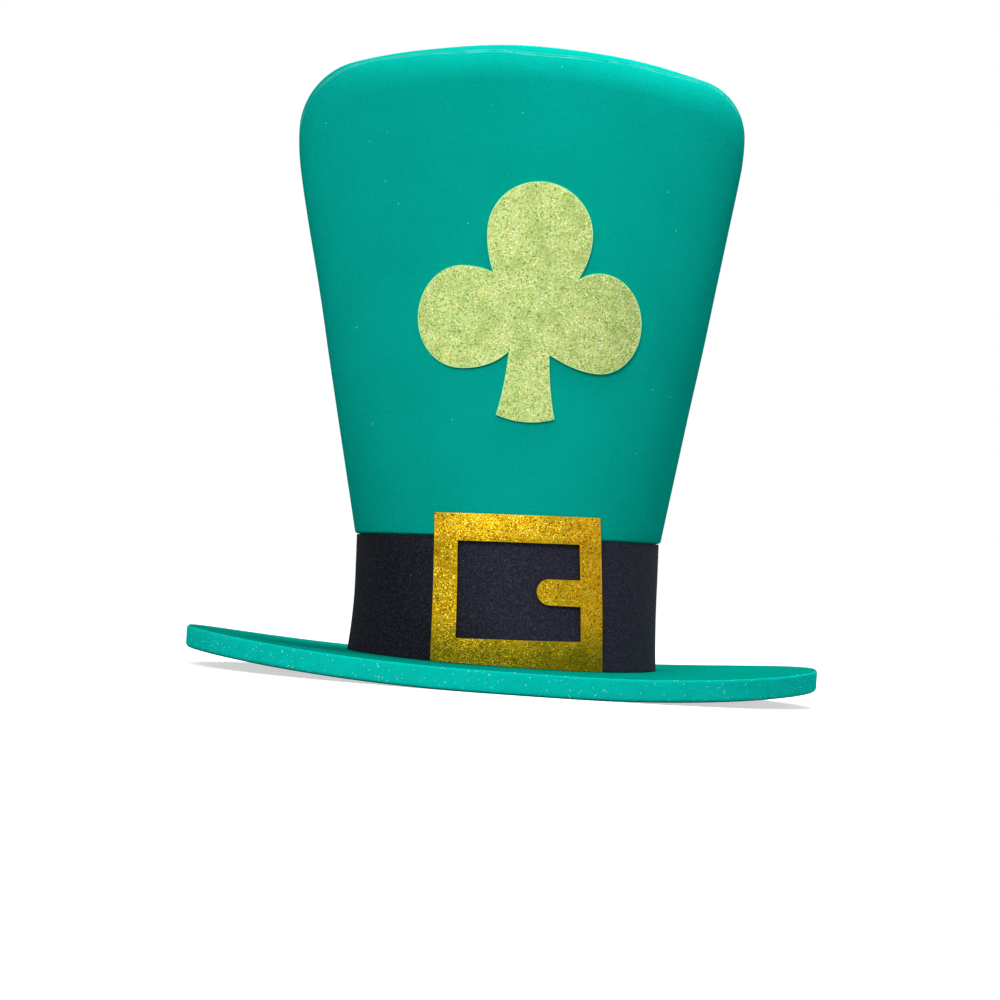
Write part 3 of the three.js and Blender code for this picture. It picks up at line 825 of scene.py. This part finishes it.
def stray_speck(c):
    """Stray glitter on the green foam."""
    paint = Paint("stray_speck")
    tone = paint.node("ShaderNodeAttribute", {"attribute_name": "tone"}, output="Fac")
    grains = paint.cells(0.0008)
    shade = paint.blend(tone * 0.8 + grains * 0.3, rgba(c.green_speck), SPECK_WHITE)
    return paint.finish(Base_Color=shade, Roughness=0.35, Metallic=0.1)


# Operators, one for each piece or group of like pieces

class HAT_OT_crown(Operator):
    """Make the two foam panels of the crown, glued along the sides and the top"""

    bl_idname = "foam_hat.crown"
    bl_label = "Make Crown"

    def execute(self, context):
        s, c = context.scene.hat_sizes, context.scene.hat_colours
        skin = green_foam(c, "green_skin", c.green, c.green_deep, 0.45, "skin")
        seam = green_foam(c, "green_seam", c.green_seam, c.green, 0.9, "cut")
        for node, side in (("crown_front", -1), ("crown_back", 1)):
            outer = crown_skin(s, side, 0.0)
            inner = crown_skin(s, side, s.crown_wall)
            inward = inner - outer
            inward /= np.linalg.norm(inward, axis=-1, keepdims=True)
            calm = smooth((outer[..., 2:3] - outer[..., 2].min()) / (2 * s.band_height) - 0.6)
            outer = uneven(outer, -inward * calm, FOAM_WAVE_REACH, FOAM_WAVE_WIDTH, s.seed)
            dips = crown_dips(outer.shape[:2], side, s.seam_dip)
            outer = outer + inward * dips[..., None]
            on_edge = np.minimum(dips[:-1, :-1], dips[1:, 1:]) + np.abs(np.diff(dips[:-1], axis=1)) > TINY
            name = node + "_panel"
            mesh = slab_mesh(name, grid_faces(*outer.shape[:2]), outer, inner, on_edge.reshape(-1))
            new_piece(name, mesh, [skin, seam], node)
        return {"FINISHED"}


def brim_profile(s):
    """The brim's cross-section, and its rows of faces on the cut edge: the first, and the one past the last.

    A point has its share of the way from the opening to the rim, its distance past that, and its height.
    """
    radius = s.brim_round
    top = s.brim_thickness - radius
    shares = np.linspace(0.0, 1.0, BRIM_SHARES)
    low_turn = np.linspace(-math.pi / 2, 0, BRIM_ROUND_POINTS)
    high_turn = np.linspace(0, math.pi / 2, BRIM_ROUND_POINTS)
    side = np.linspace(radius, top, 6)[1:-1]
    profile = [(share, 0.0, 0.0) for share in shares[:-1]]
    first = len(profile) + BRIM_ROUND_POINTS // 2
    profile += [(1.0, radius * math.cos(t), radius * (1 + math.sin(t))) for t in low_turn]
    profile += [(1.0, radius, z) for z in side]
    last = len(profile) + BRIM_ROUND_POINTS // 2
    profile += [(1.0, radius * math.cos(t), top + radius * math.sin(t)) for t in high_turn]
    profile += [(share, 0.0, s.brim_thickness) for share in shares[-2::-1]]
    profile += [(0.0, 0.0, s.brim_thickness * (1 - k / 5)) for k in range(1, 5)]
    return np.array(profile), first, last


class HAT_OT_brim(Operator):
    """Make the thick foam brim with its rounded edge, raised sides and head opening"""

    bl_idname = "foam_hat.brim"
    bl_label = "Make Brim"

    def execute(self, context):
        s, c = context.scene.hat_sizes, context.scene.hat_colours
        # The brim's skin colour is darkened as painted shade
        skin = green_foam(c, "brim_shaded_skin", c.green_brim_shade, c.green_deep, 0.3, "skin")
        cut = green_foam(c, "green_cut", c.green_cut, c.green, 0.2, "cut")
        hole_x, hole_y = crown_section(s, np.array(0.0), -s.crown_wall)
        rim_x, rim_y = s.brim_width / 2 - s.brim_round, s.brim_depth / 2 - s.brim_round
        profile, first, last = brim_profile(s)
        turns = np.linspace(0, 2 * math.pi, BRIM_TURNS + 1)[:-1]
        x = np.outer(np.cos(turns), hole_x + (rim_x - hole_x) * profile[:, 0] + profile[:, 1])
        y = np.outer(np.sin(turns), hole_y + (rim_y - hole_y) * profile[:, 0] + profile[:, 1])
        z = profile[:, 2] + brim_rise(s, x)
        points = np.stack([x, y, z], axis=-1)
        rows = len(profile)
        starts = [(i * rows, (i + 1) % BRIM_TURNS * rows) for i in range(BRIM_TURNS)]
        faces = grid_faces(BRIM_TURNS, rows, loop=True).tolist()
        faces += [(a + rows - 1, b + rows - 1, b, a) for a, b in starts]
        mesh = bpy.data.meshes.new("brim_plate")
        mesh.from_pydata(points.reshape(-1, 3).tolist(), [], faces)
        is_edge = np.array([first <= face[0] % rows < last for face in faces])
        mesh.polygons.foreach_set("material_index", is_edge.astype(np.int32))
        mesh.shade_smooth()
        mesh.set_sharp_from_angle(angle=SHARP_ANGLE)
        new_piece("brim_plate", mesh, [skin, cut], "brim")
        edge = [face for face, flag in zip(faces, is_edge) if flag]
        scatter("brim_specks", skin_mesh("brim_edge", edge, points), stray_speck(c),
                {**FLECKS["brim"], "Size": s.speck_size, "Rim": 0.0, "Seed": s.seed})
        return {"FINISHED"}


class HAT_OT_band(Operator):
    """Make the black foam band round the foot of the crown"""

    bl_idname = "foam_hat.band"
    bl_label = "Make Band"

    def execute(self, context):
        s, c = context.scene.hat_sizes, context.scene.hat_colours
        material = black_foam(c)
        heights = joined_steps((0.0, s.foot_height, 12), (s.foot_height, s.band_height, 8))
        turns = np.linspace(0, 2 * math.pi, 241)[:-1]

        def skin(offset):
            half_width, half_depth = crown_section(s, heights, offset)
            x = np.cos(turns)[:, None] * half_width
            y = np.sin(turns)[:, None] * half_depth
            return place_on_brim(s, x, y, heights[None, :] + 0 * x)

        faces = grid_faces(len(turns), len(heights), loop=True)
        mesh = slab_mesh("hat_band", faces, skin(s.glue_gap + s.band_thickness), skin(s.glue_gap))
        piece = new_piece("hat_band", mesh, [material, material], "belt")
        round_edges(piece, s.trim_round)
        return {"FINISHED"}


def buckle_seat(s, height):
    """How far the buckle's back lies off the crown: flat on the band, then bridging to the crown above it."""
    band, crown = s.band_thickness + 2 * s.glue_gap, s.swell + s.glue_gap
    first, last = s.band_height - s.buckle_top_bar, s.band_height + s.glue_gap + s.swell_height
    if crown < band:
        first, last = s.band_height, s.buckle_height
    rise = band + (crown - band) * smooth((height - first) / (last - first))
    return rise - crown_swell(s, height)


def buckle_columns(s, half_width, half_window):
    """Columns of the buckle's net: the place across of each, and half the tongue's height there."""
    half_tongue = s.tongue_width / 2
    tip = half_window - s.tongue_length
    ends = np.radians(np.linspace(0, 90, 19)[1::2])
    columns = [(x, 0.0) for x in np.linspace(-half_width, -half_window, 9)[:-1]]
    columns += [(x, 0.0) for x in np.linspace(-half_window, tip, 25)[:-1]]
    columns += [(tip + half_tongue * (1 - math.cos(t)), half_tongue * math.sin(t)) for t in ends]
    columns += [(x, half_tongue) for x in np.linspace(tip + half_tongue, half_window, 11)[:-1]]
    columns += [(x, half_tongue) for x in np.linspace(half_window, half_width, 9)]
    return np.array(columns)


class HAT_OT_buckle(Operator):
    """Make the gold glitter buckle with its tongue, wrapped round the front of the band"""

    bl_idname = "foam_hat.buckle"
    bl_label = "Make Buckle"

    def execute(self, context):
        s, c = context.scene.hat_sizes, context.scene.hat_colours
        half_width = s.buckle_top_width / 2
        half_window = half_width - s.buckle_side_bar
        columns = buckle_columns(s, half_width, half_window)
        foot, middle = s.buckle_foot_bar, s.tongue_height
        window_top = s.buckle_height - s.buckle_top_bar
        edge = np.where(columns[:, 1] > 0, columns[:, 1], s.tongue_width / 2)[:, None]
        x = columns[:, :1]
        window_foot = foot + s.buckle_foot_slant * x / half_width
        stretches = [
            (0 * x, window_foot, 8), (window_foot, middle - edge, 10), (middle - edge, middle + edge, 8),
            (middle + edge, window_top + 0 * x, 10), (window_top + 0 * x, s.band_height + 0 * x, 1),
            (s.band_height + 0 * x, s.buckle_height + 0 * x, 9),
        ]
        parts = [low + (high - low) * np.linspace(0, 1, count + 1)[None, :-1]
                 for low, high, count in stretches]
        up = np.concatenate(parts + [s.buckle_height + 0 * x], axis=1)
        counts = [count for _, _, count in stretches]
        zone = np.repeat(["foot", "low", "tongue", "high", "top", "top"], counts)
        share = up / s.buckle_height
        spread = s.buckle_foot_width / s.buckle_top_width * (1 - share) + share
        along = x * spread + s.buckle_shift + s.buckle_skew * (0.5 - share)
        bend = s.waist_width / 2
        across = bend * np.sin(along / bend)

        def skin(offset):
            return front_point(s, across, up, buckle_seat(s, up) + offset)

        rows = up.shape[1]
        faces = []
        for quad in grid_faces(len(columns), rows):
            column, row = int(quad[0]) // rows, int(quad[0]) % rows
            left, tongue = columns[column]
            on_side = left < -half_window - TINY or left >= half_window - TINY
            in_tongue = zone[row] == "tongue" and tongue > 0
            if zone[row] in ("foot", "top") or on_side or in_tongue:
                faces.append(quad)
        # Gold with painted shade on its right side, and painted shade and a painted brim reflection low down
        gold = glitter("gold_flecks", (c.gold_dark, c.gold, c.gold_light, c.gold_light), 0.5, 0.34,
                       low=c.gold_low_shade, side=(c.gold_right_shade_dark, c.gold_right_shade, c.gold_light, c.gold_right_shade))
        edge_foam = trim_edge("gold_edge", c.gold_dark, c.gold)
        outer = skin(s.buckle_thickness)
        mesh = slab_mesh("buckle_frame", faces, outer, skin(0.0))
        piece = new_piece("buckle_frame", mesh, [gold, edge_foam], "buckle")
        round_edges(piece, s.trim_round)
        scatter("buckle_glitter", skin_mesh("buckle_skin", faces, outer), gold,
                {**FLECKS["buckle"], "Size": s.fleck_size, "Rim": s.trim_rim, "Seed": s.seed + 1})
        return {"FINISHED"}


def curve_points(start, bend, end, count):
    """Points along a curve bent towards one point, without its start."""
    t = np.linspace(0, 1, count + 1)[1:, None]
    start, bend, end = np.array(start), np.array(bend), np.array(end)
    return (1 - t) ** 2 * start + 2 * t * (1 - t) * bend + t**2 * end


def ellipse_points(centre, across, up, first, last, count):
    """Points along part of an ellipse, without its start."""
    turn = np.radians(np.linspace(first, last, count + 1)[1:])
    return np.stack([centre[0] + across * np.cos(turn), centre[1] + up * np.sin(turn)], axis=-1)


def shamrock_half(side):
    """One half of the shamrock's outline, from the foot of its stem up to its top, as shares."""
    lobe, notch = SHAMROCK_SIDE_LOBES[side], SHAMROCK_NOTCHES[side]
    stem, neck, top = SHAMROCK_STEM, SHAMROCK_NECK, SHAMROCK_TOP_LOBE
    corner = (stem["cornerX"], stem["cornerY"])
    throat = (neck["x"], neck["y"])
    low, high = lobe["y"] - lobe["up"], lobe["y"] + lobe["up"]
    right = lobe["topX"] + top["across"]
    stretches = [
        curve_points((0, stem["footY"]), (corner[0] / 2, stem["footY"]), corner, 10),
        curve_points(corner, (stem["bendX"], stem["bendY"]), throat, 14),
        curve_points(throat, (lobe["rootX"], low), (lobe["x"], low), 14),
        ellipse_points((lobe["x"], lobe["y"]), lobe["across"], lobe["up"], -90, 90, 36),
        curve_points((lobe["x"], high), (lobe["tipX"], high), (notch["x"], notch["y"]), 10),
        curve_points((notch["x"], notch["y"]), (right, top["bendY"]), (right, top["y"]), 12),
        ellipse_points((lobe["topX"], top["y"]), top["across"], top["up"], 0, 90, 20),
    ]
    return np.concatenate(stretches)


def set_in(outline, distance):
    """A closed outline, listed anticlockwise, moved inwards by a distance."""
    along = np.roll(outline, -1, axis=0) - np.roll(outline, 1, axis=0)
    along /= np.linalg.norm(along, axis=1, keepdims=True)
    return outline + distance * np.stack([-along[:, 1], along[:, 0]], axis=-1)


class HAT_OT_shamrock(Operator):
    """Make the pale green glitter shamrock on the front of the crown"""

    bl_idname = "foam_hat.shamrock"
    bl_label = "Make Shamrock"

    def execute(self, context):
        s, c = context.scene.hat_sizes, context.scene.hat_colours
        right = shamrock_half("right")
        left = shamrock_half("left") * (-1, 1)
        outline = np.concatenate([right, left[-2::-1], [[0.0, SHAMROCK_STEM["footY"]]]])
        flat = outline * (s.shamrock_width / 2, s.shamrock_height)
        turn = -s.shamrock_turn
        flat = flat @ np.array([[math.cos(turn), math.sin(turn)], [-math.sin(turn), math.cos(turn)]])
        rings = 22
        count = len(flat)
        scale = np.linspace(0, 1, rings)[1:]
        core = set_in(flat, s.trim_rim)
        inside = (scale[:, None, None] * core[None]).reshape(-1, 2)
        points = np.concatenate([[[0.0, 0.0]], inside, flat])
        faces = [(0, 1 + i, 1 + (i + 1) % count) for i in range(count)]
        for ring in range(1, rings):
            inner = 1 + (ring - 1) * count
            outer = inner + count
            faces += [(inner + i, outer + i, outer + (i + 1) % count, inner + (i + 1) % count)
                      for i in range(count)]

        def skin(offset):
            x, height = s.shamrock_shift + points[:, 0], s.shamrock_centre + points[:, 1]
            return front_point(s, x, height, offset)

        leaf = glitter("leaf_flecks", (c.leaf_dark, c.leaf, c.leaf_light, c.leaf_warm), 0.25, 0.45)
        edge_foam = trim_edge("leaf_edge", c.leaf_rim, c.leaf_light)
        outer = skin(s.glue_gap + s.shamrock_thickness)
        on_rim = np.arange(len(faces)) >= len(faces) - count
        mesh = slab_mesh("shamrock_leaf", faces, outer, skin(s.glue_gap), on_rim)
        piece = new_piece("shamrock_leaf", mesh, [leaf, edge_foam], "shamrock")
        round_edges(piece, s.trim_round)
        scatter("shamrock_glitter", skin_mesh("shamrock_skin", faces, outer), leaf,
                {**FLECKS["shamrock"], "Size": s.fleck_size, "Rim": s.trim_rim, "Seed": s.seed + 2})
        return {"FINISHED"}


def area_light(name, place, target, size, power):
    """Soft square light at a place, turned to a target."""
    lamp = bpy.data.lights.new(name, "AREA")
    lamp.shape = "SQUARE"
    lamp.size = size
    lamp.energy = power
    holder = bpy.data.objects.new(name, lamp)
    holder.visible_camera = False
    bpy.context.scene.collection.objects.link(holder)
    aim = Vector(target) - Vector(place)
    holder.matrix_world = Matrix.Translation(place) @ aim.to_track_quat("-Z", "Y").to_matrix().to_4x4()


class HAT_OT_stage(Operator):
    """Make the pale floor, the studio light and the camera"""

    bl_idname = "foam_hat.stage"
    bl_label = "Make Stage"

    def execute(self, context):
        scene = context.scene
        self.make_camera(scene)
        self.make_floor(scene.hat_colours)
        self.make_light(scene)
        return {"FINISHED"}

    @staticmethod
    def make_camera(scene):
        """Camera at the photograph's angle: its yaw, its roll, and a small tilt in place of a shift."""
        yaw, roll = CAMERA_YAW, CAMERA_ROLL
        level = Vector((math.sin(yaw), math.cos(yaw), 0.0))
        side = Vector((math.cos(yaw), -math.sin(yaw), 0.0))
        up = Vector((0.0, 0.0, 1.0))
        right = side * math.cos(roll) + up * math.sin(roll)
        above = up * math.cos(roll) - side * math.sin(roll)
        half = FRAME_SIDE / 2
        across = (half - LEVEL_POINT[0]) / LENS_PIXELS
        rise = (LEVEL_POINT[1] - half) / LENS_PIXELS
        aim = (level + right * across + above * rise).normalized()
        right = (right - aim * right.dot(aim)).normalized()
        above = right.cross(aim)
        data = bpy.data.cameras.new("camera")
        data.sensor_width = SENSOR_WIDTH
        data.lens = LENS_PIXELS / FRAME_SIDE * SENSOR_WIDTH
        data.clip_end = CAMERA_REACH
        camera = bpy.data.objects.new("camera", data)
        scene.collection.objects.link(camera)
        turn = Matrix((right, above, -aim)).transposed().to_4x4()
        camera.matrix_world = Matrix.Translation(CAMERA_PLACE) @ turn
        scene.camera = camera

    @staticmethod
    def make_floor(c):
        """A wide round floor with a plain matt finish."""
        work = bmesh.new()
        bmesh.ops.create_circle(work, cap_ends=True, segments=96, radius=FLOOR_RADIUS)
        mesh = bpy.data.meshes.new("floor")
        work.to_mesh(mesh)
        work.free()
        floor = bpy.data.objects.new("floor", mesh)
        bpy.context.scene.collection.objects.link(floor)
        paint = Paint("floor")
        grain = paint.clouds(0.4, 2.0)
        shade = paint.blend(grain * 0.15, rgba(c.floor), FLOOR_CLOUD)
        seen = paint.node("ShaderNodeLightPath", output="Is Camera Ray")
        paint.finish(Base_Color=shade, Roughness=0.9, Specular_IOR_Level=0.0)
        glow = paint.node("ShaderNodeEmission", None, {"Color": WHITE, "Strength": FLOOR_GLOW})
        pale = paint.node("ShaderNodeAddShader", None, {0: Value(paint, paint.shader.outputs[0]), 1: glow})
        grey = paint.node("ShaderNodeBsdfDiffuse", None, {"Color": FLOOR_BOUNCE})
        mixed = paint.node("ShaderNodeMixShader", None, {0: seen, 1: grey, 2: pale})
        paint.join(paint.tree.nodes["Material Output"].inputs["Surface"], mixed)
        mesh.materials.append(paint.material)

    @staticmethod
    def make_light(scene):
        """White surroundings and soft lights."""
        world = bpy.data.worlds.new("studio")
        world.use_nodes = True
        scene.world = world
        sky = Nodes(world.node_tree)
        lighting = sky.node("ShaderNodeBackground", None, {"Color": WHITE, "Strength": SKY_LEVEL})
        backdrop = sky.node("ShaderNodeBackground", None, {"Color": WHITE, "Strength": 1.0})
        seen = sky.node("ShaderNodeLightPath", output="Is Camera Ray")
        mixed = sky.node("ShaderNodeMixShader", None, {0: seen, 1: lighting, 2: backdrop})
        sky.join(sky.tree.nodes["World Output"].inputs["Surface"], mixed)
        for light in LIGHTS:
            area_light(**light)
        scene.view_settings.view_transform = "Standard"
        scene.view_settings.look = "None"


class HAT_PT_tools(Panel):
    """Lists the pieces of the foam hat"""

    bl_idname = "HAT_PT_tools"
    bl_label = "Foam Hat"
    bl_space_type = "VIEW_3D"
    bl_region_type = "UI"
    bl_category = "Foam Hat"

    def draw(self, context):
        for operator in PIECE_OPERATORS:
            self.layout.operator(operator.bl_idname)
        for group in (context.scene.hat_sizes, context.scene.hat_colours):
            box = self.layout.box()
            for name in group.__annotations__:
                box.prop(group, name)


PIECE_OPERATORS = (HAT_OT_stage, HAT_OT_crown, HAT_OT_brim, HAT_OT_band, HAT_OT_buckle, HAT_OT_shamrock)
CLASSES = (HatSizes, HatColours, *PIECE_OPERATORS, HAT_PT_tools)


def register():
    for cls in CLASSES:
        bpy.utils.register_class(cls)
    bpy.types.Scene.hat_sizes = PointerProperty(type=HatSizes)
    bpy.types.Scene.hat_colours = PointerProperty(type=HatColours)


def unregister():
    del bpy.types.Scene.hat_colours
    del bpy.types.Scene.hat_sizes
    for cls in reversed(CLASSES):
        bpy.utils.unregister_class(cls)


def main():
    register()
    bpy.ops.foam_hat.stage()
    bpy.ops.foam_hat.crown()
    bpy.ops.foam_hat.brim()
    bpy.ops.foam_hat.band()
    bpy.ops.foam_hat.buckle()
    bpy.ops.foam_hat.shamrock()


if __name__ == "__main__":
    main()
